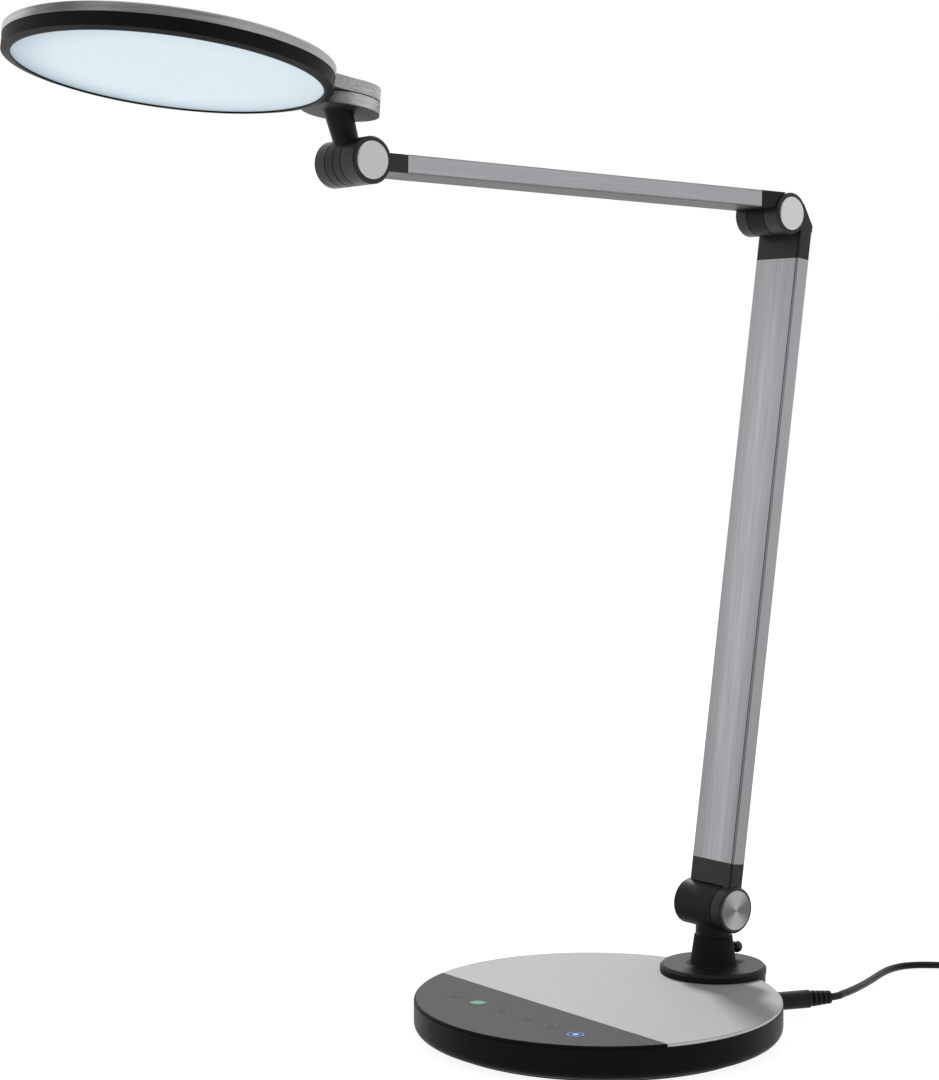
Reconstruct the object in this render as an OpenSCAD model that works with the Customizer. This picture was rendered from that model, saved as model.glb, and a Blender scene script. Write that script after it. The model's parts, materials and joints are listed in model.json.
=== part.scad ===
// LED desk lamp: a round weighted base with a touch panel, two flat arms on friction hinges
// and a round light head. Millimetres, +Z up. The origin is on the desk under the centre of the base.
// The front, with the touch panel and the head, faces -Y. The arm hinges turn about X.

/* [Base] */
// Diameter of the round base
base_d = 190; // [176:1:215]
// Height of the top plate above the desk
base_h = 19.3; // [18.8:0.1:26]
// Radius of the rounded lower edge
base_round = 5.2; // [3:0.1:6]
// Wall of the base shell
shell_wall = 2.6; // [2:0.1:3.4]
// Thickness of the deck that carries the top plate
deck_t = 2; // [1.4:0.1:2.4]
// Thickness of the top plate and of the touch panel
plate_t = 1.5; // [1:0.1:2]
// Distance of the touch panel's straight edge from the centre
panel_edge = 33.6; // [28:0.1:44]
// Thickness of the rubber foot
foot_t = 2; // [1:0.1:2.6]
// Thickness of the steel bottom cover
cover_t = 1.2; // [0.8:0.1:1.8]
// Diameter of the iron weight
weight_d = 126; // [80:1:128]
// Thickness of the iron weight
weight_t = 7; // [4:0.1:7.4]

/* [Touch keys] */
// Spacing of the touch keys
key_pitch = 19; // [13:0.1:20]
// Distance of the key row inside the base's front edge
key_inset = 37.9; // [34:0.1:41]
// Sideways place of the key row's middle
key_mid_x = 1; // [-3:0.1:3]
// Diameter of a key mark
mark_d = 10.4; // [8:0.1:11]
// Thickness of a key mark
mark_t = 0.5; // [0.3:0.1:0.8]

/* [Swivel and shoulder] */
// Distance of the swivel axis inside the base's rear edge
swivel_inset = 12.6; // [10:0.1:16]
// Diameter of the swivel disc
disc_d = 57; // [52:0.1:60]
// Thickness of the swivel disc
disc_t = 4.2; // [3:0.1:7]
// Diameter of the neck at the disc
neck_d = 24.8; // [22:0.1:30]
// Diameter of the neck at its top
neck_top_d = 20.4; // [18.4:0.1:21]
// Height of the neck above the disc
neck_h = 15.6; // [14:0.1:24]
// Height of the shoulder axis above the neck
shoulder_rise = 15.8; // [15:0.1:24]
// Outer diameter of the hollow swivel spindle
spindle_d = 15.6; // [14:0.1:18]
// Diameter of the cable way through the spindle
cable_way_d = 9; // [6:0.1:10]
// Diameter of the shoulder barrel
shoulder_d = 24.5; // [22:0.1:26]
// Length of the shoulder barrel
shoulder_len = 35.6; // [34.6:0.1:40]
// Sideways place of the shoulder barrel's middle
shoulder_x = -0.8; // [-1.2:0.1:0]
// Where the neck's knuckle ends and the arm's ear begins, from the middle
shoulder_split = 9.5; // [8.5:0.1:9.6]

/* [Lower arm] */
// Distance from the shoulder axis to the elbow axis along the arm
lower_len = 371.7; // [260:0.1:460]
// Backward lean of the lower arm in degrees
lower_lean = 8; // [0:0.1:15]
// Width of the lower arm
lower_w = 31.2; // [28:0.1:31.8]
// Thickness of the lower arm
lower_t = 8.6; // [7.6:0.1:10]
// Wall of both arm tubes
tube_wall = 1.4; // [1:0.1:1.8]
// Distance from the shoulder axis to the lower tube
lower_start = 24.5; // [20:0.1:40]
// Distance from the lower tube to the elbow axis
lower_stop = 22.3; // [20:0.1:40]

/* [Elbow and tilt hinges] */
// Distance of the elbow axis in front of the lower arm's middle plane
elbow_forward = 12.6; // [11.6:0.1:18]
// Diameter of the hinge barrels
barrel_d = 22; // [20.6:0.1:24]
// Length of the hinge barrels
barrel_len = 32; // [31:0.1:38]
// Width of the middle knuckles
knuckle_w = 12; // [10:0.1:12.4]
// Sideways place of the knuckles' middle
knuckle_x = -1; // [-1.4:0.1:1]
// Diameter of the hinge bolts
bolt_d = 5; // [4:0.1:5.4]

/* [Upper arm] */
// Distance from the elbow axis to the tilt axis along the arm
upper_len = 275.1; // [200:0.1:340]
// Rise of the upper arm toward the head in degrees
upper_rise = 0.9; // [-5:0.1:10]
// Width of the upper arm
upper_w = 29; // [27:0.1:31]
// Thickness of the upper arm
upper_t = 8.8; // [7.8:0.1:9]
// Distance of the upper arm's middle line above the elbow axis
elbow_drop = 6.7; // [6:0.1:7]
// Distance from either hinge axis to the upper tube
upper_gap = 21.4; // [18:0.1:34]

/* [Head] */
// Distance from the tilt axis to the underside of the swivel puck
stem_len = 23.8; // [22:0.1:36]
// Forward lean of the stem in degrees
stem_lean = 17.6; // [12:0.1:24]
// Diameter of the stem at the hinge
stem_d = 11; // [9:0.1:11.4]
// Diameter of the stem at the puck
stem_top_d = 14; // [12:0.1:17]
// Backward tilt of the head in degrees
head_tilt = 8.3; // [0:0.1:15]
// Sideways lean of the head in degrees
head_roll = -1.4; // [-2:0.1:2]
// Diameter of the swivel puck at its underside
puck_d = 36.8; // [34:0.1:38]
// Diameter of the swivel puck at its top
puck_top_d = 35.8; // [33:0.1:38]
// Height of the puck's lower half
puck_low_h = 5.7; // [5:0.1:9]
// Height of the puck's upper half
puck_up_h = 6.1; // [5:0.1:8]
// Clearance between the puck and the head's edge
rim_gap = 0.55; // [0.45:0.05:4]
// Diameter of the head
head_d = 145.7; // [112:0.1:150]
// Diameter of the light panel
panel_d = 136.7; // [100:0.1:137.4]
// How far the head's lower edge lies under the puck
head_drop = 3.7; // [2:0.1:5]
// Height of the black bezel
bezel_h = 6.8; // [6.6:0.1:9]
// Height of the silver band
band_h = 4.3; // [4:0.1:6.5]
// Rise of the head's domed top above the band
dome_h = 3.4; // [2:0.1:5]

/* [Cord] */
// Diameter of the cord
cord_d = 4; // [3.4:0.1:4]
// Bearing of the power socket, in degrees from +X toward +Y
socket_angle = 69; // [66:1:72]
// Height of the power socket's axis
socket_z = 8.5; // [8.3:0.1:9.5]
// Diameter of the plug's grip
plug_d = 9.6; // [8:0.1:10]
// Length of the plug's grip
grip_len = 24.6; // [18:0.1:28]
// Length of the plug's ribbed strain relief
relief_len = 11.4; // [9:0.1:14]
// Number of turns in the stored coil
coil_turns = 10.111; // [10.111:1:11.111]
// Radius of the coil's outermost turn
coil_r = 25.8; // [25:0.1:27]
// Distance between neighbouring turns and layers
coil_pitch = 4.5; // [4.5:0.01:4.7]
// Length of the wall adapter's body
adapter_len = 46; // [36:0.1:60]
// Width of the wall adapter's body
adapter_w = 36; // [30:0.1:40]
// Height of the wall adapter's body
adapter_h = 30; // [28:0.1:36]

/* [Hidden] */
$fn = 96;

// Colours of the finishes
black = "#1d1e20";
graphite = "#3a3b3d";
silver = "#a9abae";
pale_silver = "#c2c3c4";
steel = "#8e9195";

// Overshoot of cuts, so that no cut ends on a face
over = 1;
// Clearance of a piece that is pushed into its seat
seat_gap = 0.1;
// Radial clearance of a bore that turns on its pin
run_gap = 0.05;
// Clearance between faces that turn past each other
turn_gap = 0.1;

// Levels and radii of the base
base_r = base_d / 2;
key_row = base_r - key_inset;
cover_top = foot_t + cover_t;
round_top = foot_t + base_round;
shell_top = base_h - plate_t;
deck_low = shell_top - deck_t;
open_r = base_r - base_round - shell_wall;
plate_inset = 0.4;
plate_edge = 0.6;
plate_r = base_r - plate_inset;
panel_gap = 0.3;
foot_inset = 1;
post_r = 4;
post_inset = 3.2;
post_ring = open_r - post_r - post_inset;
post_angles = [20, 150, 215, 325];
screw_r = 1.5;
screw_head_r = 2.8;
screw_reach = 5;
weight_screw_ring = 52;
weight_screw_angles = [45, 135, 225, 315];

// Touch keys: the six marks lie in one row, the second and the last are lit
key_count = 6;
mode_key = 1;
power_key = 5;
plain_keys = [for (k = [0 : key_count - 1]) if (k != mode_key && k != power_key) k];
mark_proud = 0.1;
mark_line = 0.8;
leaf_w = mark_d * 0.67;
power_ring_r = mark_d * 0.42;
power_dot_r = mark_d * 0.15;
plain_mark_r = mark_d * 0.3;
board_t = 1.6;
board_margin = 10;
board_edge = 2.8;
touch_board_w = key_pitch * (key_count - 1) + 2 * board_margin;
touch_board_d = mark_d + 2 * board_edge;
sensor_t = 0.8;
control_board_size = [52, 36];
control_board_at = [-36, 36];
chip_h = 2;

// Swivel
swivel_y = base_r - swivel_inset;
lobe_step = 0.4;
lobe_r = disc_d / 2 - lobe_step;
lobe_open_r = lobe_r - base_round - shell_wall;
plate_cut_gap = 0.2;
swivel_gap = 0.3;
disc_low = base_h + swivel_gap;
disc_top = disc_low + disc_t;
disc_edge = 1.4;
neck_flare = 0.8;
neck_top = disc_top + neck_h;
shoulder_z = neck_top + shoulder_rise;
spindle_r = spindle_d / 2;
bush_t = 2.2;
bush_r = spindle_r + bush_t;
boss_wall = 3;
boss_drop = 6;
boss_low = deck_low - boss_drop;
washer_t = 1;
swivel_nut_wall = 4.6;
swivel_nut_r = spindle_r + swivel_nut_wall;
spindle_clear = 0.5;
spindle_low = cover_top + spindle_clear;
spindle_tail = 0.3;
swivel_nut_low = spindle_low + spindle_tail;
neck_wall = 3.2;
spigot_r = neck_top_d / 2 - neck_wall;
spigot_len = 12;
neck_screw_rise = 6.5;
neck_screw_z = disc_top + neck_screw_rise;
neck_screw_bite = 2;
neck_face_r = (neck_d + (neck_top_d - neck_d) * neck_screw_rise / neck_h) / 2;
knob_r = 3.2;
knob_stand = 6.1;
knob_out = neck_face_r + knob_stand;

// Hinge hardware shared by all hinges
cap_t = 1.6;
cap_proud = 0.4;
cap_edge = 0.5;
rim = 2.2;
barrel_edge = 0.8;
washer_gap = 0.6;
disc_washer_t = washer_gap - turn_gap;
nut_t = 3.4;
head_t = 2.8;
pocket_wall = 0.6;
bolt_r = bolt_d / 2;
bolt_head_wall = 2.1;
head_r = bolt_r + bolt_head_wall;
nut_wall = 2.3;
nut_r = bolt_r + nut_wall;
tail = 0.3;

// Shoulder
shoulder_r = shoulder_d / 2;
shoulder_low = shoulder_x - shoulder_len / 2;
shoulder_high = shoulder_x + shoulder_len / 2;
shoulder_rim = 1.6;
shoulder_cap_r = shoulder_r - shoulder_rim;
shoulder_ear = shoulder_split + washer_gap;
pedestal_step = 0.6;
pedestal_r = min(neck_top_d / 2 - pedestal_step, shoulder_split);
ear_clear = 0.5;

// Elbow and tilt hinges
barrel_r = barrel_d / 2;
barrel_half = barrel_len / 2;
cap_r = barrel_r - rim;
knuckle_low = knuckle_x - knuckle_w / 2;
knuckle_high = knuckle_x + knuckle_w / 2;
ear_low = knuckle_low - washer_gap;
ear_high = knuckle_high + washer_gap;
swing_gap = 0.4;

// Arms
tube_corner = 0.8;
spigot_in = 18;
groove_w = 0.7;
groove_d = 0.5;
groove_inset = 0.4;
elbow_back = 3.8;
elbow_y = swivel_y + lower_len * sin(lower_lean) - elbow_forward * cos(lower_lean);
elbow_z = shoulder_z + lower_len * cos(lower_lean) + elbow_forward * sin(lower_lean);
tilt_y = elbow_y - upper_len * cos(upper_rise) + elbow_drop * sin(upper_rise);
tilt_z = elbow_z + upper_len * sin(upper_rise) + elbow_drop * cos(upper_rise);

// Head, in a frame at the middle of the puck's underside, +Z out of the head's top, -Y toward its centre
puck_y = tilt_y - stem_len * sin(stem_lean);
puck_z = tilt_z + stem_len * cos(stem_lean);
puck_gap = 0.5;
puck_washer_t = puck_gap - turn_gap;
puck_up_low = puck_low_h + puck_gap;
puck_top = puck_up_low + puck_up_h;
puck_slope = (puck_top_d - puck_d) / 2 / puck_top;
puck_mid_r = puck_d / 2 + puck_slope * puck_low_h;
head_reach = head_d / 2 + max(puck_d, puck_top_d) / 2 + rim_gap;
puck_up_r = puck_d / 2 + puck_slope * puck_up_low;
puck_floor = 2;
cover_lid_t = 1.2;
cover_r = 13;
pivot_r = 2.5;
pivot_head_r = 5;
pivot_head_t = 1.6;
bridge_inset = 0.5;
bridge_r = min(puck_up_r, puck_top_d / 2) - bridge_inset;
bridge_dip = 29;
bridge_from = 3;
head_r_out = head_d / 2;
bezel_inset = 0.25;
bezel_r = head_r_out - bezel_inset;
bezel_low = -head_drop;
bezel_top = bezel_low + bezel_h;
band_top = bezel_top + band_h;
band_edge = 0.6;
band_wall = 3.6;
dome_wall = 1.6;
dome_r = head_r_out - band_edge;
dome_seat = 1;
dome_base_r = dome_r - dome_seat;
dome_sphere = (dome_base_r * dome_base_r + dome_h * dome_h) / (2 * dome_h);
dome_centre = band_top + dome_h - dome_sphere;
lip_t = 0.8;
lip_least = 0.5;
bezel_wall = 2.4;
bezel_slope = 3.3;
bezel_rise = 0.9;
bezel_in_r = bezel_r - bezel_wall;
lip_r = min(panel_d / 2, bezel_r - bezel_slope - lip_least);
stack_gap = 0.2;
stack_r = bezel_in_r - stack_gap;
diffuser_low = bezel_low + lip_t;
diffuser_t = 1.6;
guide_low = diffuser_low + diffuser_t;
guide_t = 2.6;
guide_gap = 1.5;
reflector_low = guide_low + guide_t;
reflector_t = 0.3;
heat_low = reflector_low + reflector_t;
heat_t = bezel_top - heat_low;
led_count = 48;
led_strip_t = 0.4;
led_size = [0.8, 1.8, 2];
head_screw_ring = 50;
head_screw_angles = [30, 90, 150, 210, 270, 330];
head_screw_r = 1.2;
head_screw_top = 2.4;
head_screw_len = 3.6;
head_boss_r = 3.4;
head_boss_lap = 1;

// Plug and socket
plug_gap = 0.5;
pin_r = 2.7;
pin_bore = 1.2;
pin_len = 11;
jack_w = 10;
jack_len = 14;
jack_rise = 2.6;
jack_low = foot_t + jack_rise;
jack_back = 0.2;
jack_r = base_r - shell_wall - jack_back;
rib_count = 4;
rib_t = 1.6;
rib_first_r = 4.2;
rib_last_r = 3.5;
relief_r = 2.8;
plug_end = base_r + plug_gap + grip_len + relief_len;

// Cord: the hand-set points of its run between the plug and the stored coil
cord_r = cord_d / 2;
run_sides = 8;
plug_way = [cos(socket_angle), sin(socket_angle), 0];
run_start = plug_end * plug_way + [0, 0, socket_z];
run_points = [
    [47.9, 129.3, 8.4], [46.2, 133.6, 8.2], [43.7, 140.3, 7.6], [38.3, 152.4, 6.5], [31.6, 166.2, 5.2],
    [24.1, 181.1, 4], [16.2, 196.4, 3], [10.6, 209.5, 2.4], [8.4, 218.8, 2.1], [8.4, 225.6, 2],
    [10, 230.6, 2], [12.3, 234.8, 2], [15.1, 238.5, 2], [20.5, 243.2, 2.2], [28, 248.9, 2.6],
    [36.5, 255.8, 2.8]
];

// Coil: four layers that spiral in and out, wound clockwise and seen from above
tie_t = 0.7;
tie_gap = 0.5;
tie_w = 7;
tie_angle = 280;
tie_under = 0.2;
coil_at = [64, 246, tie_t + tie_under + cord_d / 2];
coil_start = 130;
coil_sides = 6;
coil_layers = 4;
rings_per_turn = 24;
coil_straight = cord_d;
coil_tail = 17;
layer_turns = coil_turns / coil_layers;
coil_in_r = coil_r - coil_pitch * layer_turns;
coil_rings = ceil(coil_turns * rings_per_turn);
coil_top = coil_at[2] + (coil_layers - 1) * coil_pitch;
coil_end = coil_start - 360 * coil_turns;

// Adapter, in line with the coil's outgoing end
adapter_round = 4;
adapter_flange = 7;
adapter_step = 1.5;
adapter_relief_len = 10;
adapter_relief_r = 4;
adapter_lip = 1;
blade = [16, 1.5, 6.3];
blade_gap = 12.7;

// A ring of points round p, square to the unit vector way
function unit(v) = v / norm(v);
function ring(p, way, r, sides) =
    let (side = unit(cross([0, 0, 1], way)), top = cross(way, side))
    [for (k = [0 : sides - 1]) p + r * (cos(360 * k / sides) * side + sin(360 * k / sides) * top)];
function way_at(path, i) =
    unit(path[min(i + 1, len(path) - 1)] - path[max(i - 1, 0)]);

// Closed tube of flat triangles along a path
module tube_along(path, r, sides) {
    last = len(path) - 1;
    points = [for (i = [0 : last]) each ring(path[i], way_at(path, i), r, sides)];
    walls = [
        for (i = [0 : last - 1], k = [0 : sides - 1])
            let (a = i * sides + k, b = i * sides + (k + 1) % sides)
            each [[a, a + sides, b], [b, a + sides, b + sides]]
    ];
    far = last * sides;
    start_cap = [for (k = [1 : sides - 2]) [0, k, k + 1]];
    end_cap = [for (k = [1 : sides - 2]) [far, far + k + 1, far + k]];
    polyhedron(points = points, faces = concat(walls, start_cap, end_cap));
}

// Coil path: radius swings between the outer and inner turn, height steps up at each reversal
function ease(u) = u <= 0 ? 0 : u >= 1 ? 1 : u * u * (3 - 2 * u);
function coil_radius(t) =
    let (k = min(floor(t / layer_turns), coil_layers - 1), s = (t - k * layer_turns) * coil_pitch)
    k % 2 == 0 ? coil_r - s : coil_in_r + s;
function coil_climb(t, k = 1) =
    k >= coil_layers ? 0 : ease((t - k * layer_turns + 0.25) / 0.5) + coil_climb(t, k + 1);
function coil_point(t) =
    let (a = coil_start - 360 * t)
    coil_at + [coil_radius(t) * cos(a), coil_radius(t) * sin(a), coil_pitch * coil_climb(t)];
function coil_way(a) = [sin(a), -cos(a), 0];
coil_path = concat(
    [coil_point(0) - coil_straight * coil_way(coil_start)],
    [for (i = [0 : coil_rings]) coil_point(coil_turns * i / coil_rings)],
    [coil_point(coil_turns) + coil_tail * coil_way(coil_end)]
);
run_path = concat(
    [run_start, run_start + cord_r * plug_way],
    run_points,
    [coil_path[0] - cord_d * coil_way(coil_start), coil_path[0]]
);

// Least gap of the coil to itself, between points that are more than half a turn apart
coil_gap = min([
    for (i = [0 : len(coil_path) - 1], j = [i + rings_per_turn / 2 : len(coil_path) - 1])
        norm(coil_path[i] - coil_path[j])
]) - cord_d;
echo(coil_least_gap_mm = coil_gap);

// Frames of the moving bodies
module at_swivel() {
    translate([0, swivel_y, 0]) children();
}
module in_lower_arm() {
    translate([0, swivel_y, shoulder_z]) rotate([-lower_lean, 0, 0]) children();
}
module at_elbow() {
    in_lower_arm() translate([0, -elbow_forward, lower_len]) children();
}
module in_upper_arm() {
    translate([0, elbow_y, elbow_z]) rotate([90 - upper_rise, 0, 0]) children();
}
module at_tilt() {
    in_upper_arm() translate([0, elbow_drop, upper_len]) children();
}
module in_head() {
    translate([0, puck_y, puck_z]) rotate([-head_tilt, head_roll, 0]) children();
}
module at_head() {
    in_head() translate([0, -head_reach, 0]) children();
}
module at_socket() {
    rotate([0, 0, socket_angle]) translate([0, 0, socket_z]) rotate([0, 90, 0]) children();
}

// Shared shapes
// Round bar along X from x0 to x1
module bar(x0, x1, r) {
    translate([x0, 0, 0]) rotate([0, 90, 0]) cylinder(h = x1 - x0, r = r);
}
// Hinge barrel from x_in to the outer end x_out, with a bevelled outer edge
module barrel(x_in, x_out, r) {
    s = sign(x_out - x_in);
    x_edge = x_out - s * barrel_edge;
    bar(min(x_in, x_edge), max(x_in, x_edge), r);
    translate([x_edge, 0, 0]) rotate([0, s * 90, 0]) cylinder(h = barrel_edge, r1 = r, r2 = r - barrel_edge);
}
// Washer along X from x0 to x1
module flat_washer(x0, x1, r, hole) {
    difference() {
        bar(x0, x1, r);
        bar(x0 - over, x1 + over, hole);
    }
}
// Hexagon nut along X from x0 to x1
module hex_nut(x0, x1, r, hole) {
    difference() {
        translate([x0, 0, 0]) rotate([0, 90, 0]) cylinder(h = x1 - x0, r = r, $fn = 6);
        bar(x0 - over, x1 + over, hole);
    }
}
// Bolt along X: its head from x_head outward, its shank back to x_tail
module hinge_bolt(x_tail, x_head, shank_r, r_head) {
    bar(x_tail, x_head, shank_r);
    bar(x_head, x_head + head_t, r_head);
}
// Round cap that covers a barrel's end, its outer face toward s
module end_cap(x_out, s, r) {
    translate([x_out - s * cap_t, 0, 0]) rotate([0, s * 90, 0]) union() {
        cylinder(h = cap_t, r = r);
        translate([0, 0, cap_t]) cylinder(h = cap_proud, r1 = r, r2 = r - cap_edge);
    }
}
// Seats cut into a barrel's end for a cap and, deeper, a bolt head or nut down to x_floor
module end_seat(x_out, s, r, pocket_r, x_floor) {
    x_cap = x_out - s * cap_t;
    bar(min(x_cap, x_out + s * over), max(x_cap, x_out + s * over), r + seat_gap);
    bar(min(x_floor, x_cap + s * over), max(x_floor, x_cap + s * over), pocket_r);
}
// Rectangle with round corners
module round_rect(w, t, r) {
    square([w - 2 * r, t], center = true);
    square([w, t - 2 * r], center = true);
    for (x = [-1, 1], y = [-1, 1]) {
        translate([x * (w / 2 - r), y * (t / 2 - r)]) circle(r = r);
    }
}
// Outline of an arm, with a groove along one edge of its front or under face
module arm_outline(w, t) {
    difference() {
        round_rect(w, t, tube_corner);
        translate([w / 2 - tube_corner - groove_inset, -t / 2]) {
            square([groove_w, 2 * groove_d], center = true);
        }
    }
}
// Section of an arm tube
module tube_section(w, t) {
    difference() {
        arm_outline(w, t);
        round_rect(w - 2 * tube_wall, t - 2 * tube_wall, tube_corner / 2);
    }
}
// Plug of a fitting that goes into an arm tube
module tube_plug(w, t) {
    linear_extrude(height = spigot_in) {
        round_rect(w - 2 * tube_wall - 2 * seat_gap, t - 2 * tube_wall - 2 * seat_gap, tube_corner / 2);
    }
}
// Straight length of an arm's outline
module arm_block(w, t, length) {
    linear_extrude(height = length) arm_outline(w, t);
}
// Disc with a rounded lower edge, from the foot's top up to a level
module soft_disc(r, top) {
    rotate_extrude() {
        translate([0, round_top]) square([r, top - round_top]);
        translate([0, foot_t]) square([r - base_round, base_round]);
        intersection() {
            translate([r - base_round, round_top]) circle(r = base_round);
            translate([0, foot_t]) square([r, base_round]);
        }
    }
}
module ring_of(angles, r) {
    for (a = angles) {
        rotate([0, 0, a]) translate([r, 0, 0]) children();
    }
}

// Base
module foot_pad() {
    color(graphite) cylinder(h = foot_t, r = open_r - foot_inset);
}

module bottom_cover() {
    color(steel) difference() {
        union() {
            translate([0, 0, foot_t]) cylinder(h = cover_t, r = open_r - seat_gap);
            at_swivel() translate([0, 0, foot_t]) cylinder(h = cover_t, r = lobe_open_r - seat_gap);
        }
        ring_of(post_angles, post_ring) translate([0, 0, foot_t]) flush_screw_hole();
        ring_of(weight_screw_angles, weight_screw_ring) translate([0, 0, foot_t]) flush_screw_hole();
    }
}
module flush_screw_hole() {
    translate([0, 0, -seat_gap]) {
        cylinder(h = cover_t + seat_gap, r1 = screw_head_r + 2 * seat_gap, r2 = screw_r + seat_gap);
    }
    cylinder(h = cover_t + over, r = screw_r + seat_gap);
}
// Flush-headed screw, its head's face at z = 0
module flush_screw() {
    cylinder(h = cover_t, r1 = screw_head_r, r2 = screw_r);
    cylinder(h = cover_t + screw_reach, r = screw_r);
}
module cover_screws() {
    color(steel) ring_of(post_angles, post_ring) translate([0, 0, foot_t]) flush_screw();
}
module weight_screws() {
    color(steel) ring_of(weight_screw_angles, weight_screw_ring) translate([0, 0, foot_t]) flush_screw();
}

module base_weight() {
    color(graphite) difference() {
        translate([0, 0, cover_top]) cylinder(h = weight_t, r = weight_d / 2);
        ring_of(weight_screw_angles, weight_screw_ring) translate([0, 0, foot_t]) {
            cylinder(h = cover_t + screw_reach + over, r = screw_r + seat_gap);
        }
    }
}

module base_shell() {
    color(black) difference() {
        union() {
            difference() {
                union() {
                    soft_disc(base_r, shell_top);
                    at_swivel() soft_disc(lobe_r, base_h);
                }
                shell_room(base_r, open_r);
                at_swivel() shell_room(lobe_r, lobe_open_r);
            }
            at_swivel() translate([0, 0, boss_low]) cylinder(h = base_h - boss_low, r = bush_r + boss_wall);
            ring_of(post_angles, post_ring) translate([0, 0, cover_top]) {
                cylinder(h = deck_low - cover_top + deck_t / 2, r = post_r);
            }
        }
        at_swivel() translate([0, 0, boss_low - over]) cylinder(h = base_h, r = bush_r + seat_gap);
        ring_of(post_angles, post_ring) translate([0, 0, cover_top - over]) {
            cylinder(h = over + screw_reach + over, r = screw_r + seat_gap);
        }
        jack_room();
        at_socket() translate([0, 0, jack_r - over]) cylinder(h = jack_len, r = pin_r + 4 * seat_gap);
    }
}
// Hollow under the deck, with a narrower mouth inside the rounded edge
module shell_room(r, mouth_r) {
    translate([0, 0, foot_t - over]) cylinder(h = base_round + over + seat_gap, r = mouth_r);
    translate([0, 0, round_top]) cylinder(h = deck_low - round_top, r = r - shell_wall);
}
// Pocket in the shell's wall round the power socket
module jack_room() {
    room_w = jack_w + 2 * seat_gap;
    rotate([0, 0, socket_angle]) translate([jack_r - jack_len, -room_w / 2, jack_low - seat_gap]) {
        cube([jack_len + seat_gap, room_w, deck_low - jack_low + seat_gap]);
    }
}

// Flat disc that both top pieces are cut from, with a bevelled upper edge
module top_disc() {
    translate([0, 0, shell_top]) cylinder(h = plate_t - plate_edge, r = plate_r);
    translate([0, 0, base_h - plate_edge]) cylinder(h = plate_edge, r1 = plate_r, r2 = plate_r - plate_edge);
}
module behind_panel_edge(gap) {
    translate([-base_d, -panel_edge + gap, 0]) cube([2 * base_d, 2 * base_d, base_d]);
}
module top_plate() {
    color(pale_silver) difference() {
        intersection() {
            top_disc();
            behind_panel_edge(panel_gap / 2);
        }
        at_swivel() cylinder(h = base_d, r = lobe_r + plate_cut_gap);
    }
}
module touch_panel() {
    color(graphite) difference() {
        top_disc();
        behind_panel_edge(-panel_gap / 2);
        for (k = [0 : key_count - 1]) {
            at_key(k) translate([0, 0, -mark_t]) cylinder(h = mark_t + over, r = mark_d / 2 + seat_gap);
        }
    }
}
function key_x(k) = key_mid_x + (k - (key_count - 1) / 2) * key_pitch;
module at_key(k) {
    translate([key_x(k), -key_row, base_h]) children();
}
// Key marks are thin inlays that fill round recesses in the panel
module mark_body() {
    translate([0, 0, -mark_t]) cylinder(h = mark_t, r = mark_d / 2);
}
module mark_ring(r) {
    difference() {
        cylinder(h = mark_proud, r = r);
        translate([0, 0, -over]) cylinder(h = mark_proud + 2 * over, r = r - mark_line);
    }
}
module mark_bar(length) {
    translate([-length / 2, -mark_line / 2, 0]) cube([length, mark_line, mark_proud]);
}
module touch_marks() {
    color(graphite) for (k = plain_keys) {
        at_key(k) {
            mark_body();
            mark_ring(plain_mark_r);
            if (k > plain_keys[0]) mark_bar(plain_mark_r);
        }
    }
}
module mode_light() {
    color("#57c98f") at_key(mode_key) {
        mark_body();
        linear_extrude(height = mark_proud) {
            circle(r = leaf_w / 2);
            square(leaf_w / 2);
            rotate(180) square(leaf_w / 2);
        }
    }
}
module power_light() {
    color("#4f6ee0") at_key(power_key) {
        mark_body();
        mark_ring(power_ring_r);
        cylinder(h = mark_proud, r = power_dot_r);
    }
}

module touch_board() {
    board_from = key_mid_x - touch_board_w / 2;
    color("#1f4d35") translate([0, -key_row, deck_low - board_t]) {
        translate([board_from, -touch_board_d / 2, 0]) cube([touch_board_w, touch_board_d, board_t]);
        for (k = [0 : key_count - 1]) {
            translate([key_x(k), 0, -sensor_t]) cylinder(h = sensor_t, r = mark_d / 2);
        }
    }
}
module control_board() {
    chips = [[-16, -8, 9, 7], [4, -9, 12, 8], [-12, 8, 7, 6], [10, 8, 10, 9]];
    color("#1f4d35") translate([control_board_at[0], control_board_at[1], deck_low - board_t]) {
        translate([-control_board_size[0] / 2, -control_board_size[1] / 2, 0]) {
            cube([control_board_size[0], control_board_size[1], board_t]);
        }
        for (c = chips) {
            translate([c[0] - c[2] / 2, c[1] - c[3] / 2, -chip_h]) cube([c[2], c[3], chip_h]);
        }
    }
}
module dc_jack() {
    color(black) {
        difference() {
            rotate([0, 0, socket_angle]) translate([jack_r - jack_len, -jack_w / 2, jack_low]) {
                cube([jack_len, jack_w, 2 * (socket_z - jack_low)]);
            }
            at_socket() translate([0, 0, jack_r - pin_len]) {
                cylinder(h = pin_len + over, r = pin_r + seat_gap);
            }
        }
        at_socket() translate([0, 0, jack_r - pin_len - over]) {
            cylinder(h = pin_len, r = pin_bore - seat_gap);
        }
    }
}
module swivel_bush() {
    color("#d8d4c8") at_swivel() difference() {
        translate([0, 0, boss_low]) cylinder(h = base_h - boss_low, r = bush_r);
        translate([0, 0, boss_low - over]) cylinder(h = base_h, r = spindle_r + run_gap);
    }
}

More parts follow.
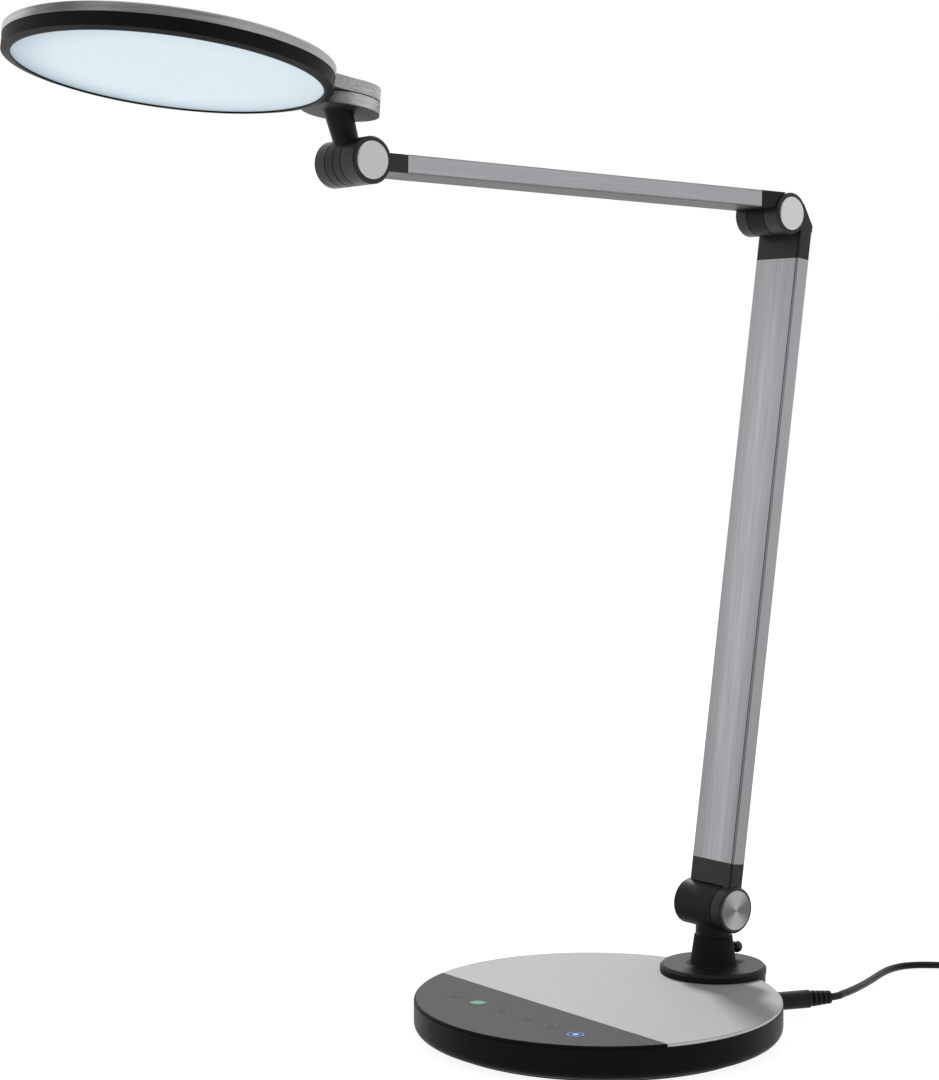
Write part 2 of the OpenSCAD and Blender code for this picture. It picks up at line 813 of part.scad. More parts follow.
// Power lead
module dc_plug() {
    grip_from = base_r + plug_gap;
    relief_from = grip_from + grip_len;
    rib_step = relief_len / rib_count;
    color(black) at_socket() difference() {
        union() {
            translate([0, 0, jack_r - pin_len + plug_gap]) {
                cylinder(h = grip_from - jack_r + pin_len, r = pin_r);
            }
            translate([0, 0, grip_from]) cylinder(h = grip_len - barrel_edge, r = plug_d / 2);
            translate([0, 0, relief_from - barrel_edge]) {
                cylinder(h = barrel_edge, r1 = plug_d / 2, r2 = plug_d / 2 - barrel_edge);
            }
            translate([0, 0, relief_from]) cylinder(h = relief_len, r = relief_r);
            for (k = [0 : rib_count - 1]) {
                translate([0, 0, relief_from + (k + 1) * rib_step - rib_t]) {
                    cylinder(h = rib_t, r = rib_first_r + (rib_last_r - rib_first_r) * k / (rib_count - 1));
                }
            }
        }
        cylinder(h = jack_r + pin_len / 4, r = pin_bore);
    }
}
module cord_run() {
    color(black) tube_along(run_path, cord_r, run_sides);
}
module cord_coil() {
    color(black) tube_along(coil_path, cord_r, coil_sides);
}
module coil_tie() {
    inner_low = coil_in_r - cord_r - tie_gap;
    inner_high = coil_r + cord_r + tie_gap;
    inner_top = coil_top + cord_r + tie_gap;
    color(graphite) translate([coil_at[0], coil_at[1], 0]) rotate([0, 0, tie_angle]) difference() {
        translate([inner_low - tie_t, -tie_w / 2, 0]) {
            cube([inner_high - inner_low + 2 * tie_t, tie_w, inner_top + tie_t]);
        }
        translate([inner_low, -tie_w, tie_t]) cube([inner_high - inner_low, 2 * tie_w, inner_top - tie_t]);
    }
}
module at_adapter() {
    translate([coil_at[0], coil_at[1], coil_top]) rotate([0, 0, coil_end]) {
        translate([coil_radius(coil_turns), -coil_tail, 0]) rotate([0, 0, -90]) children();
    }
}
module power_adapter() {
    body_from = adapter_relief_len;
    color(black) at_adapter() {
        rotate([0, 90, 0]) {
            cylinder(h = adapter_relief_len + over, r1 = cord_r + adapter_lip, r2 = adapter_relief_r);
        }
        translate([body_from, 0, adapter_h / 2 - coil_top]) rotate([90, 0, 90]) {
            linear_extrude(height = adapter_len - adapter_flange) {
                round_rect(adapter_w - 2 * adapter_step, adapter_h - 2 * adapter_step, adapter_round);
            }
            translate([0, 0, adapter_len - adapter_flange]) linear_extrude(height = adapter_flange) {
                round_rect(adapter_w, adapter_h, adapter_round);
            }
        }
    }
}
module adapter_blades() {
    blade_low = adapter_h / 2 - coil_top - blade[2] / 2;
    color(pale_silver) at_adapter() for (s = [-1, 1]) {
        translate([adapter_relief_len + adapter_len, (s * blade_gap - blade[1]) / 2, blade_low]) cube(blade);
    }
}

// Swivel
module swivel_post() {
    color(black) at_swivel() difference() {
        union() {
            translate([0, 0, disc_low]) cylinder(h = disc_t - disc_edge, r = disc_d / 2);
            translate([0, 0, disc_top - disc_edge]) {
                cylinder(h = disc_edge, r1 = disc_d / 2, r2 = disc_d / 2 - disc_edge);
            }
            translate([0, 0, disc_top]) cylinder(h = neck_h, r1 = neck_d / 2, r2 = neck_top_d / 2);
            translate([0, 0, disc_top]) {
                cylinder(h = neck_flare, r1 = neck_d / 2 + neck_flare, r2 = neck_d / 2 - neck_flare);
            }
            translate([0, 0, spindle_low]) cylinder(h = disc_top - spindle_low, r = spindle_r);
        }
        translate([0, 0, spindle_low - over]) cylinder(h = neck_top, r = cable_way_d / 2);
        translate([0, 0, neck_top - spigot_len - plug_gap]) {
            cylinder(h = spigot_len + over, r = spigot_r + seat_gap);
        }
        translate([0, 0, neck_screw_z]) rotate([-90, 0, 0]) cylinder(h = neck_d, r = screw_r + seat_gap);
    }
}
module swivel_washer() {
    color(steel) at_swivel() difference() {
        translate([0, 0, boss_low - turn_gap - washer_t]) cylinder(h = washer_t, r = swivel_nut_r);
        translate([0, 0, cover_top]) cylinder(h = base_h, r = spindle_r + seat_gap);
    }
}
module swivel_nut() {
    color(steel) at_swivel() difference() {
        translate([0, 0, swivel_nut_low]) {
            cylinder(h = boss_low - turn_gap - washer_t - swivel_nut_low, r = swivel_nut_r, $fn = 6);
        }
        translate([0, 0, cover_top]) cylinder(h = base_h, r = spindle_r + seat_gap);
    }
}
module shoulder_knuckle() {
    x_floor = shoulder_low + cap_t + nut_t + washer_t + 2 * tail;
    color(black) difference() {
        union() {
            translate([0, swivel_y, shoulder_z]) barrel(shoulder_split, shoulder_low, shoulder_r);
            at_swivel() translate([0, 0, neck_top]) cylinder(h = shoulder_rise, r = pedestal_r);
            at_swivel() translate([0, 0, neck_top - spigot_len]) {
                cylinder(h = spigot_len + over, r = spigot_r);
            }
        }
        translate([0, swivel_y, shoulder_z]) {
            bar(-shoulder_len, shoulder_len, bolt_r + run_gap);
            end_seat(shoulder_low, -1, shoulder_cap_r, nut_r + pocket_wall, x_floor);
        }
        translate([0, swivel_y, neck_screw_z]) rotate([-90, 0, 0]) {
            translate([0, 0, spigot_r - neck_screw_bite]) cylinder(h = neck_d, r = screw_r + seat_gap);
        }
    }
}
module neck_screw() {
    bite = spigot_r - neck_screw_bite + seat_gap;
    color(black) translate([0, swivel_y, neck_screw_z]) rotate([-90, 0, 0]) {
        translate([0, 0, bite]) cylinder(h = knob_out - bite, r = screw_r);
        translate([0, 0, knob_out]) sphere(r = knob_r, $fn = 48);
    }
}
module knuckle_cap() {
    color(silver) translate([0, swivel_y, shoulder_z]) end_cap(shoulder_low, -1, shoulder_cap_r);
}

// Lower arm
module shoulder_fitting() {
    x_floor = shoulder_high - cap_t - head_t - tail;
    color(black) in_lower_arm() difference() {
        union() {
            barrel(shoulder_ear, shoulder_high, shoulder_r);
            difference() {
                arm_block(lower_w, lower_t, lower_start);
                bar(-lower_w, shoulder_ear, shoulder_r + ear_clear);
            }
            translate([0, 0, lower_start]) tube_plug(lower_w, lower_t);
        }
        bar(shoulder_split, shoulder_len, bolt_r + run_gap);
        end_seat(shoulder_high, 1, shoulder_cap_r, head_r + pocket_wall, x_floor);
    }
}
module shoulder_bolt() {
    color(steel) in_lower_arm() {
        hinge_bolt(shoulder_low + cap_t + tail, shoulder_high - cap_t - head_t - tail, bolt_r, head_r);
    }
}
module shoulder_nut() {
    x_from = shoulder_low + cap_t + 2 * tail;
    color(steel) in_lower_arm() hex_nut(x_from, x_from + nut_t, nut_r, bolt_r + run_gap);
}
module shoulder_washers() {
    x_nut = shoulder_low + cap_t + 2 * tail + nut_t;
    color(steel) in_lower_arm() {
        flat_washer(shoulder_split + turn_gap, shoulder_ear, shoulder_r - rim, bolt_r + run_gap);
        flat_washer(x_nut, x_nut + washer_t - turn_gap, nut_r, bolt_r + run_gap);
    }
}
module shoulder_cap() {
    color(silver) in_lower_arm() end_cap(shoulder_high, 1, shoulder_cap_r);
}
module lower_tube() {
    color(silver) in_lower_arm() translate([0, 0, lower_start]) {
        linear_extrude(height = lower_len - lower_start - lower_stop) tube_section(lower_w, lower_t);
    }
}
// Side outline of the elbow fork, y back and z up from the elbow axis: the arm's outline with a web that
// runs from its back corner to the barrel along the barrel's tangent
function tangent_point(p, r) =
    let (a = atan2(p[1], p[0]) + acos(r / norm(p)))
    [r * cos(a), r * sin(a)];
module elbow_fork() {
    y_front = elbow_forward - lower_t / 2;
    y_back = elbow_forward + lower_t / 2;
    corner = [y_back, -elbow_back];
    meet = [y_front, -sqrt(barrel_r * barrel_r - y_front * y_front)];
    color(black) at_elbow() difference() {
        union() {
            barrel(ear_low, -barrel_half, barrel_r);
            barrel(ear_high, barrel_half, barrel_r);
            rotate([90, 0, 90]) translate([0, 0, -lower_w / 2]) linear_extrude(height = lower_w) {
                polygon([meet, [y_back, meet[1]], corner, tangent_point(corner, barrel_r), [0, 0]]);
            }
            translate([0, elbow_forward, -lower_stop]) arm_block(lower_w, lower_t, lower_stop + meet[1]);
            translate([0, elbow_forward, -lower_stop - spigot_in]) tube_plug(lower_w, lower_t);
        }
        bar(ear_low, ear_high, barrel_r + swing_gap);
        hinge_seats();
    }
}
// Bore and end seats of a two-eared hinge
module hinge_seats() {
    bar(-barrel_len, barrel_len, bolt_r + run_gap);
    end_seat(barrel_half, 1, cap_r, head_r + pocket_wall, barrel_half - cap_t - head_t - tail);
    end_seat(-barrel_half, -1, cap_r, nut_r + pocket_wall, -barrel_half + cap_t + nut_t + 2 * tail);
}
module hinge_bolt_set() {
    hinge_bolt(-barrel_half + cap_t + tail, barrel_half - cap_t - head_t - tail, bolt_r, head_r);
}
module hinge_nut_set() {
    x_from = -barrel_half + cap_t + 2 * tail;
    hex_nut(x_from, x_from + nut_t, nut_r, bolt_r + run_gap);
}
module hinge_washer_set() {
    flat_washer(ear_high - disc_washer_t, ear_high, cap_r, bolt_r + run_gap);
    flat_washer(ear_low, ear_low + disc_washer_t, cap_r, bolt_r + run_gap);
}
module hinge_cap_set() {
    end_cap(barrel_half, 1, cap_r);
    end_cap(-barrel_half, -1, cap_r);
}
module elbow_bolt() {
    color(steel) at_elbow() hinge_bolt_set();
}
module elbow_nut() {
    color(steel) at_elbow() hinge_nut_set();
}
module elbow_washers() {
    color(pale_silver) at_elbow() hinge_washer_set();
}
module elbow_caps() {
    color(pale_silver) at_elbow() hinge_cap_set();
}

// Upper arm
module elbow_knuckle() {
    color(black) in_upper_arm() difference() {
        union() {
            bar(knuckle_low, knuckle_high, barrel_r);
            difference() {
                translate([0, elbow_drop, 0]) arm_block(upper_w, upper_t, upper_gap);
                bar(-barrel_len, knuckle_low, barrel_r + swing_gap);
                bar(knuckle_high, barrel_len, barrel_r + swing_gap);
            }
            translate([0, elbow_drop, upper_gap]) tube_plug(upper_w, upper_t);
        }
        bar(-barrel_len, barrel_len, bolt_r + run_gap);
    }
}
module upper_tube() {
    color(silver) in_upper_arm() translate([0, elbow_drop, upper_gap]) {
        linear_extrude(height = upper_len - 2 * upper_gap) tube_section(upper_w, upper_t);
    }
}
module tilt_fork() {
    color(black) at_tilt() difference() {
        union() {
            barrel(ear_low, -barrel_half, barrel_r);
            barrel(ear_high, barrel_half, barrel_r);
            translate([0, 0, -upper_gap]) arm_block(upper_w, upper_t, upper_gap);
            translate([0, 0, -upper_gap - spigot_in]) tube_plug(upper_w, upper_t);
        }
        bar(ear_low, ear_high, barrel_r + swing_gap);
        hinge_seats();
    }
}
module tilt_bolt() {
    color(steel) at_tilt() hinge_bolt_set();
}
module tilt_nut() {
    color(steel) at_tilt() hinge_nut_set();
}
module tilt_washers() {
    color(pale_silver) at_tilt() hinge_washer_set();
}
module tilt_caps() {
    color(pale_silver) at_tilt() hinge_cap_set();
}

// Head's tilting stem and the fixed half of its swivel
module tilt_stem() {
    color(black) difference() {
        union() {
            translate([0, tilt_y, tilt_z]) {
                bar(knuckle_low, knuckle_high, barrel_r);
                rotate([stem_lean, 0, 0]) translate([knuckle_x, 0, 0]) {
                    cylinder(h = stem_len + stem_top_d / 2, d1 = stem_d, d2 = stem_top_d);
                }
            }
        }
        in_head() translate([-puck_d, -puck_d, 0]) cube(2 * puck_d);
        in_head() translate([0, 0, -pivot_head_r]) cylinder(h = puck_d, r = pivot_r + seat_gap);
        translate([0, tilt_y, tilt_z]) bar(-barrel_len, barrel_len, bolt_r + run_gap);
        // Shallow line round the knuckle where its two halves are joined
        translate([0, tilt_y, tilt_z]) difference() {
            bar(knuckle_x - groove_w / 2, knuckle_x + groove_w / 2, barrel_r + over);
            bar(knuckle_low, knuckle_high, barrel_r - groove_d);
            rotate([stem_lean, 0, 0]) translate([knuckle_x, 0, 0]) {
                cylinder(h = stem_len, d1 = stem_d, d2 = stem_top_d);
            }
        }
    }
}
module lower_puck() {
    color(silver) in_head() difference() {
        cylinder(h = puck_low_h, r1 = puck_d / 2, r2 = puck_mid_r);
        translate([0, 0, -over]) cylinder(h = puck_low_h + 2 * over, r = pivot_r + seat_gap);
    }
}
module pivot_washer() {
    color(pale_silver) in_head() difference() {
        translate([0, 0, puck_low_h]) cylinder(h = puck_washer_t, r = cover_r);
        cylinder(h = puck_top, r = pivot_r + seat_gap);
    }
}
module pivot_bolt() {
    head_low = puck_up_low + puck_floor + turn_gap;
    color(steel) in_head() {
        translate([0, 0, -pivot_head_r + tail]) cylinder(h = head_low + pivot_head_r - tail, r = pivot_r);
        translate([0, 0, head_low]) cylinder(h = pivot_head_t, r = pivot_head_r);
    }
}

// Light head
module head_shell() {
    color(silver) difference() {
        union() {
            at_head() difference() {
                head_outside();
                head_inside();
            }
            at_head() ring_of(head_screw_angles, head_screw_ring) translate([0, 0, bezel_top]) {
                cylinder(h = band_h + head_boss_lap, r = head_boss_r);
            }
            in_head() translate([0, 0, puck_up_low]) {
                cylinder(h = puck_up_h, r1 = puck_up_r, r2 = puck_top_d / 2);
            }
            in_head() head_bridge();
        }
        at_head() ring_of(head_screw_angles, head_screw_ring) translate([0, 0, bezel_top - over]) {
            cylinder(h = over + head_screw_len, r = head_screw_r + seat_gap);
        }
        in_head() cylinder(h = puck_top, r = pivot_r + run_gap);
        in_head() translate([0, 0, puck_up_low + puck_floor]) {
            cylinder(h = puck_up_h, r = cover_r - cover_lid_t);
        }
        in_head() translate([0, 0, puck_top - cover_lid_t]) cylinder(h = puck_up_h, r = cover_r + seat_gap);
    }
}
module head_outside() {
    translate([0, 0, bezel_top]) cylinder(h = band_h - band_edge, r = head_r_out);
    translate([0, 0, band_top - band_edge]) cylinder(h = band_edge, r1 = head_r_out, r2 = dome_r);
    intersection() {
        translate([0, 0, bezel_top]) cylinder(h = band_h + 2 * dome_h, r = dome_r - dome_seat / 2);
        translate([0, 0, dome_centre]) sphere(r = dome_sphere);
    }
}
module head_inside() {
    intersection() {
        translate([0, 0, bezel_top - over]) cylinder(h = band_h + dome_h + over, r = head_r_out - band_wall);
        translate([0, 0, dome_centre]) sphere(r = dome_sphere - dome_wall);
    }
}
// Flat bridge from the upper puck into the head's top, sloping down into the dome's wall
function dome_z(r) = dome_centre + sqrt(dome_sphere * dome_sphere - r * r);
module head_bridge() {
    y_flat = -head_reach + head_r_out;
    y_end = y_flat - bridge_dip;
    z_end = dome_z(y_end + head_reach) - dome_wall / 2;
    rotate([90, 0, 90]) translate([0, 0, -bridge_r]) linear_extrude(height = 2 * bridge_r) {
        polygon([
            [-bridge_from, puck_up_low], [-bridge_from, puck_top],
            [y_flat, puck_top], [y_end, z_end], [y_end, puck_up_low]
        ]);
    }
}
module pivot_cover() {
    color(silver) in_head() translate([0, 0, puck_top - cover_lid_t]) cylinder(h = cover_lid_t, r = cover_r);
}
module bezel() {
    color(black) at_head() rotate_extrude() polygon([
        [lip_r, bezel_low], [bezel_r - bezel_slope, bezel_low], [bezel_r, bezel_low + bezel_rise],
        [bezel_r, bezel_top], [bezel_in_r, bezel_top], [bezel_in_r, diffuser_low], [lip_r, diffuser_low]
    ]);
}
module diffuser() {
    color("#e4eff6") at_head() translate([0, 0, diffuser_low]) cylinder(h = diffuser_t, r = stack_r);
}
module light_guide() {
    color("#eef4f7") at_head() translate([0, 0, guide_low]) cylinder(h = guide_t, r = stack_r - guide_gap);
}
module led_ring() {
    led_x = stack_r - led_strip_t / 2 - led_size[0];
    led_low = guide_low + (guide_t - led_size[2]) / 2;
    color("#f2e3a0") at_head() {
        difference() {
            translate([0, 0, guide_low]) cylinder(h = guide_t, r = stack_r);
            translate([0, 0, guide_low - over]) cylinder(h = guide_t + 2 * over, r = stack_r - led_strip_t);
        }
        for (k = [0 : led_count - 1]) {
            rotate([0, 0, 360 * k / led_count]) translate([led_x, -led_size[1] / 2, led_low]) cube(led_size);
        }
    }
}
module reflector() {
    color("white") at_head() translate([0, 0, reflector_low]) cylinder(h = reflector_t, r = stack_r);
}
module heat_plate() {
    bore_r = head_screw_r + seat_gap;
    color(pale_silver) at_head() difference() {
        translate([0, 0, heat_low]) cylinder(h = heat_t, r = stack_r);
        ring_of(head_screw_angles, head_screw_ring) translate([0, 0, heat_low]) {
            translate([0, 0, -seat_gap]) {
                cylinder(h = heat_t + seat_gap, r1 = head_screw_top + 2 * seat_gap, r2 = bore_r);
            }
            cylinder(h = heat_t + over, r = bore_r);
        }
    }
}
module head_screws() {
    color(steel) at_head() ring_of(head_screw_angles, head_screw_ring) translate([0, 0, heat_low]) {
        cylinder(h = heat_t, r1 = head_screw_top, r2 = head_screw_r);
        cylinder(h = heat_t + head_screw_len - tail, r = head_screw_r);
    }
}

foot_pad();
bottom_cover();
cover_screws();
base_weight();
weight_screws();
base_shell();
top_plate();
touch_panel();
touch_marks();
mode_light();
power_light();
touch_board();
control_board();
dc_jack();
swivel_bush();
dc_plug();
cord_run();
cord_coil();
coil_tie();
power_adapter();
adapter_blades();
swivel_post();
swivel_washer();
swivel_nut();
shoulder_knuckle();
neck_screw();
knuckle_cap();
shoulder_fitting();
shoulder_bolt();
shoulder_nut();
shoulder_washers();
shoulder_cap();
lower_tube();
elbow_fork();
elbow_bolt();
elbow_nut();
elbow_washers();
elbow_caps();
elbow_knuckle();
upper_tube();
tilt_fork();
tilt_bolt();
tilt_nut();
tilt_washers();
tilt_caps();
tilt_stem();
lower_puck();
pivot_washer();
pivot_bolt();
head_shell();
pivot_cover();
bezel();
diffuser();
light_guide();
led_ring();
reflector();
heat_plate();
head_screws();
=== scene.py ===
import json
import math

import bpy
from mathutils import Euler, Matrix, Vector


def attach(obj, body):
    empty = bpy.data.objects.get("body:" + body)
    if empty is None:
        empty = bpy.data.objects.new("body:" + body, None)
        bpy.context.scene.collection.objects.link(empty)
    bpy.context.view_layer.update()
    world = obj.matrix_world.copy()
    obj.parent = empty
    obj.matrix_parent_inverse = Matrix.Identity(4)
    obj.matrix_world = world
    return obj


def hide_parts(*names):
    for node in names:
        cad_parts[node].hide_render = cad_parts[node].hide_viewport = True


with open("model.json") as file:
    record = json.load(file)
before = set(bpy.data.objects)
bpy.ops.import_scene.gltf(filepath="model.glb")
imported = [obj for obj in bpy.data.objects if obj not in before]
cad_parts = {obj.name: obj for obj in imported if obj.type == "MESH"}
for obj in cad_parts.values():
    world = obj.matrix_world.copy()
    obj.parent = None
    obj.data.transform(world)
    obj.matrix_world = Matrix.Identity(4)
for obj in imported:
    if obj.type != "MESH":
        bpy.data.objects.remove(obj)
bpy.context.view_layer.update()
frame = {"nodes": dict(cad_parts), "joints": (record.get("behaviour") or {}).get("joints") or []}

nodes = frame["nodes"]
joints = {j["name"]: j for j in frame["joints"]}
MM = 0.001

# Camera, at the photograph's viewing angle
camera_data = bpy.data.cameras.new("camera")
camera_data.lens = 77.7
camera_data.sensor_width = 36
camera = bpy.data.objects.new("camera", camera_data)
camera.location = (0.8901, -0.7859, 0.3272)
camera.rotation_mode = "QUATERNION"
camera.rotation_quaternion = Vector((-0.7839, 0.6179, -0.0610)).to_track_quat("-Z", "Y")
bpy.context.scene.collection.objects.link(camera)
bpy.context.scene.camera = camera
bpy.context.scene.view_settings.view_transform = "Standard"


# Node helpers
class Shader:
    """A material whose nodes are made and joined in short lines.

    edge is the tint of the gloss at a grazing angle.
    """

    def __init__(self, name, color, rough, metal=0.0, specular=0.5, edge=1.0):
        self.mat = bpy.data.materials.new(name)
        self.mat.use_nodes = True
        self.tree = self.mat.node_tree
        self.bsdf = self.tree.nodes["Principled BSDF"]
        self.put("Base Color", (*color, 1))
        self.put("Roughness", rough)
        self.put("Metallic", metal)
        self.put("Specular IOR Level", specular)
        self.put("Specular Tint", (edge, edge, edge, 1))

    def put(self, socket, value):
        self.bsdf.inputs[socket].default_value = value

    def link(self, out, into):
        self.tree.links.new(out, into)

    def feed(self, out, socket):
        self.link(out, self.bsdf.inputs[socket])

    def node(self, kind, **values):
        n = self.tree.nodes.new(kind)
        for key, value in values.items():
            setattr(n, key, value)
        return n

    def local(self, origin=(0, 0, 0), turn=(0, 0, 0)):
        """Object coordinates, in metres, seen from a frame at origin turned by turn (degrees)."""
        place = self.node("ShaderNodeMapping", vector_type="TEXTURE")
        place.inputs["Location"].default_value = origin
        place.inputs["Rotation"].default_value = [math.radians(a) for a in turn]
        self.link(self.node("ShaderNodeTexCoord").outputs["Object"], place.inputs["Vector"])
        return place.outputs[0]

    def scaled(self, vector, scale):
        n = self.node("ShaderNodeVectorMath", operation="MULTIPLY")
        self.link(vector, n.inputs[0])
        n.inputs[1].default_value = scale
        return n.outputs[0]

    def math(self, operation, a, b=None):
        n = self.node("ShaderNodeMath", operation=operation)
        for i, x in enumerate((a, b)):
            if x is None:
                continue
            if isinstance(x, (int, float)):
                n.inputs[i].default_value = x
            else:
                self.link(x, n.inputs[i])
        return n.outputs[0]

    def split(self, vector):
        n = self.node("ShaderNodeSeparateXYZ")
        self.link(vector, n.inputs[0])
        return n.outputs[0], n.outputs[1], n.outputs[2]

    def join(self, x, y, z):
        n = self.node("ShaderNodeCombineXYZ")
        for i, v in enumerate((x, y, z)):
            self.link(v, n.inputs[i])
        return n.outputs[0]

    def polar(self, vector, round_x=False):
        """(radius, angle, height) of a local vector about its Z axis, or about X."""
        x, y, z = self.split(vector)
        if round_x:
            x, y, z = y, z, x
        squares = self.math("ADD", self.math("MULTIPLY", x, x), self.math("MULTIPLY", y, y))
        return self.math("SQRT", squares), self.math("ARCTAN2", y, x), z

    def noise(self, vector, scale=1.0, detail=3.0, rough=0.55, w=None):
        n = self.node("ShaderNodeTexNoise", noise_dimensions="4D" if w else "3D")
        n.inputs["Scale"].default_value = scale
        n.inputs["Detail"].default_value = detail
        n.inputs["Roughness"].default_value = rough
        self.link(vector, n.inputs["Vector"])
        if w:
            self.link(w, n.inputs["W"])
        return n.outputs["Fac"]

    def ramp(self, value, *stops, smooth=False):
        """Colours along value; each stop is (place, (r, g, b))."""
        n = self.node("ShaderNodeValToRGB")
        n.color_ramp.interpolation = "EASE" if smooth else "LINEAR"
        points = n.color_ramp.elements
        while len(points) < len(stops):
            points.new(0.5)
        for point, (place, color) in zip(points, stops):
            point.position = place
            point.color = (*color, 1)
        self.link(value, n.inputs[0])
        return n.outputs[0]

    def span(self, value, from_low, from_high, low, high):
        n = self.node("ShaderNodeMapRange")
        for key, x in (("From Min", from_low), ("From Max", from_high), ("To Min", low), ("To Max", high)):
            n.inputs[key].default_value = x
        self.link(value, n.inputs["Value"])
        return n.outputs[0]

    def mix(self, share, a, b, blend="MIX"):
        n = self.node("ShaderNodeMix", data_type="RGBA", blend_type=blend)
        for key, x in ((0, share), (6, a), (7, b)):
            if isinstance(x, tuple):
                n.inputs[key].default_value = (*x, 1)
            elif isinstance(x, (int, float)):
                n.inputs[key].default_value = x
            else:
                self.link(x, n.inputs[key])
        return n.outputs[2]

    def bump(self, height, strength, distance):
        n = self.node("ShaderNodeBump")
        n.inputs["Strength"].default_value = strength
        n.inputs["Distance"].default_value = distance
        self.link(height, n.inputs["Height"])
        self.feed(n.outputs[0], "Normal")


# Grains and patches per metre of moulded plastic, and how deep the grain and the brush's streaks are
GRAIN = 2600
GRAIN_DEPTH = 0.03 * MM
PATCHES = 45
STREAK_DEPTH = 0.02 * MM
# The brush's broad streaks against its fine ones, and its streaks round an axis
BROAD = 0.28
ROUND_STREAKS = 2.5
# The values that a noise is taken to run between, in three widths
NOISE_WIDE = (0.3, 0.7)
NOISE_MID = (0.35, 0.65)
NOISE_NARROW = (0.36, 0.64)
# A tube's eased corners
CORNER_R = 1.0 * MM
CORNER_ROUGH = 0.85


def shade(color, factor):
    return tuple(c * factor for c in color)


def varied(s, noise, color, share, width=NOISE_WIDE):
    """The colour, darker by share where the noise is low and lighter where it is high."""
    low, high = width
    return s.ramp(noise, (low, shade(color, 1 - share)), (high, shade(color, 1 + share)))


def grained(s, grain=GRAIN, depth=GRAIN_DEPTH):
    s.bump(s.noise(s.local(), grain, 2), 0.35, depth)


def moulded(name, color, rough, grain=GRAIN, depth=GRAIN_DEPTH, specular=0.4, patch=0.12):
    """Moulded plastic or rubber: fine spark grain, slow change of gloss and tone."""
    s = Shader(name, color, rough, specular=specular)
    slow = s.noise(s.local(), PATCHES, 3)
    s.feed(varied(s, slow, color, patch), "Base Color")
    s.feed(s.span(slow, *NOISE_WIDE, rough - 0.05, rough + 0.05), "Roughness")
    grained(s, grain, depth)
    return s.mat


def brushed(
    name, color, rough, stretch, origin=(0, 0, 0), turn=(0, 0, 0),
    contrast=0.10, edge=1.0, painted_light=None, corner=None,
):
    """Metal brushed along one axis of a local frame: stretch holds streaks per metre on each axis.

    bands paints light and shade into the tone by place, and corner is (half width, middle, half depth)
    of a tube whose eased corners are duller than its faces.
    """
    s = Shader(name, color, rough, metal=1.0, edge=edge)
    here = s.local(origin, turn)
    fine = s.noise(s.scaled(here, stretch), 1.0, 4, 0.65)
    broad = s.noise(s.scaled(here, [BROAD * n for n in stretch]), 1.0, 2)
    both = s.math("ADD", s.math("MULTIPLY", fine, 0.6), s.math("MULTIPLY", broad, 0.4))
    tone = varied(s, both, color, contrast, NOISE_NARROW)
    # Painted light and shade laid into the tone by place
    if painted_light:
        tone = painted_light(s, here, tone)
    s.feed(tone, "Base Color")
    dull = s.span(both, *NOISE_MID, rough - 0.05, rough + 0.07)
    if corner:
        half_x, mid_y, half_y = corner
        x, y, _ = s.split(here)
        at_x = s.span(s.math("ABSOLUTE", x), half_x - CORNER_R, half_x - 0.5 * CORNER_R, 0.0, CORNER_ROUGH)
        off_y = s.math("ABSOLUTE", s.math("SUBTRACT", y, mid_y))
        at_y = s.span(off_y, half_y - CORNER_R, half_y - 0.5 * CORNER_R, 0.0, CORNER_ROUGH)
        dull = s.math("MAXIMUM", dull, s.math("MINIMUM", at_x, at_y))
    s.feed(dull, "Roughness")
    s.bump(fine, 0.12, STREAK_DEPTH)
    return s.mat


def spun(s, color, origin, turn=(0, 0, 0), round_x=False, rings=2600, contrast=0.08, calm=None):
    """Tone, streaks and polar place of metal brushed round an axis.

    Inside radius calm the streaks are faint.
    """
    radius, angle, height = s.polar(s.local(origin, turn), round_x)
    around = [s.math("MULTIPLY", s.math(kind, angle), ROUND_STREAKS) for kind in ("COSINE", "SINE")]
    where = s.join(s.math("MULTIPLY", radius, rings), *around)
    fine = s.noise(where, 1.0, 4, 0.65, w=s.math("MULTIPLY", height, rings))
    tone = varied(s, fine, color, contrast, NOISE_NARROW)
    if calm:
        tone = s.mix(s.span(radius, calm - 2 * MM, calm, 0.72, 0.0), tone, color)
    return tone, fine, radius, angle, height


def with_painted_sheen(s, tone, angle, stops, share=1.0):
    """Tone with a slow painted change of light and shade round an axis; stops are (degrees, factor) pairs.
    """
    turn = s.span(angle, -math.pi, math.pi, 0.0, 1.0)
    slow = s.ramp(turn, *[(a / 360 + 0.5, (f, f, f)) for a, f in stops], smooth=True)
    return s.mix(share, tone, slow, blend="MULTIPLY")


def polished(s, tone, fine, rough):
    """The gloss and streaks of metal brushed round an axis."""
    s.feed(tone, "Base Color")
    s.feed(s.span(fine, *NOISE_MID, rough - 0.05, rough + 0.06), "Roughness")
    s.bump(fine, 0.12, STREAK_DEPTH)


def turned(name, color, rough, *place, painted_wedge_shade=0.0, painted_under_shade=0.0, edge=1.0, painted_sheen=None, **how):
    """Metal brushed round an axis.

    wedges darkens two opposite sectors with painted shade, as for a spun face's bow-tie highlight, under
    darkens the lower face with painted shade, and sheen paints a slow change of light and shade round the
    axis.
    """
    s = Shader(name, color, rough, metal=1.0, edge=edge)
    tone, fine, _, angle, height = spun(s, color, *place, **how)
    if painted_sheen:
        tone = with_painted_sheen(s, tone, angle, painted_sheen)
    # Painted shade in two opposite sectors
    if painted_wedge_shade:
        sector = s.math("COSINE", s.math("MULTIPLY", angle, 2.0))
        tone = s.mix(s.span(sector, -0.75, 0.85, 0.0, 1.0), tone, shade(color, 1 - painted_wedge_shade))
    # Painted shade on the lower face
    if painted_under_shade:
        tone = s.mix(s.span(height, 0.1 * MM, 0.5 * MM, 1.0, 0.0), tone, shade(color, 1 - painted_under_shade))
    polished(s, tone, fine, rough)
    return s.mat


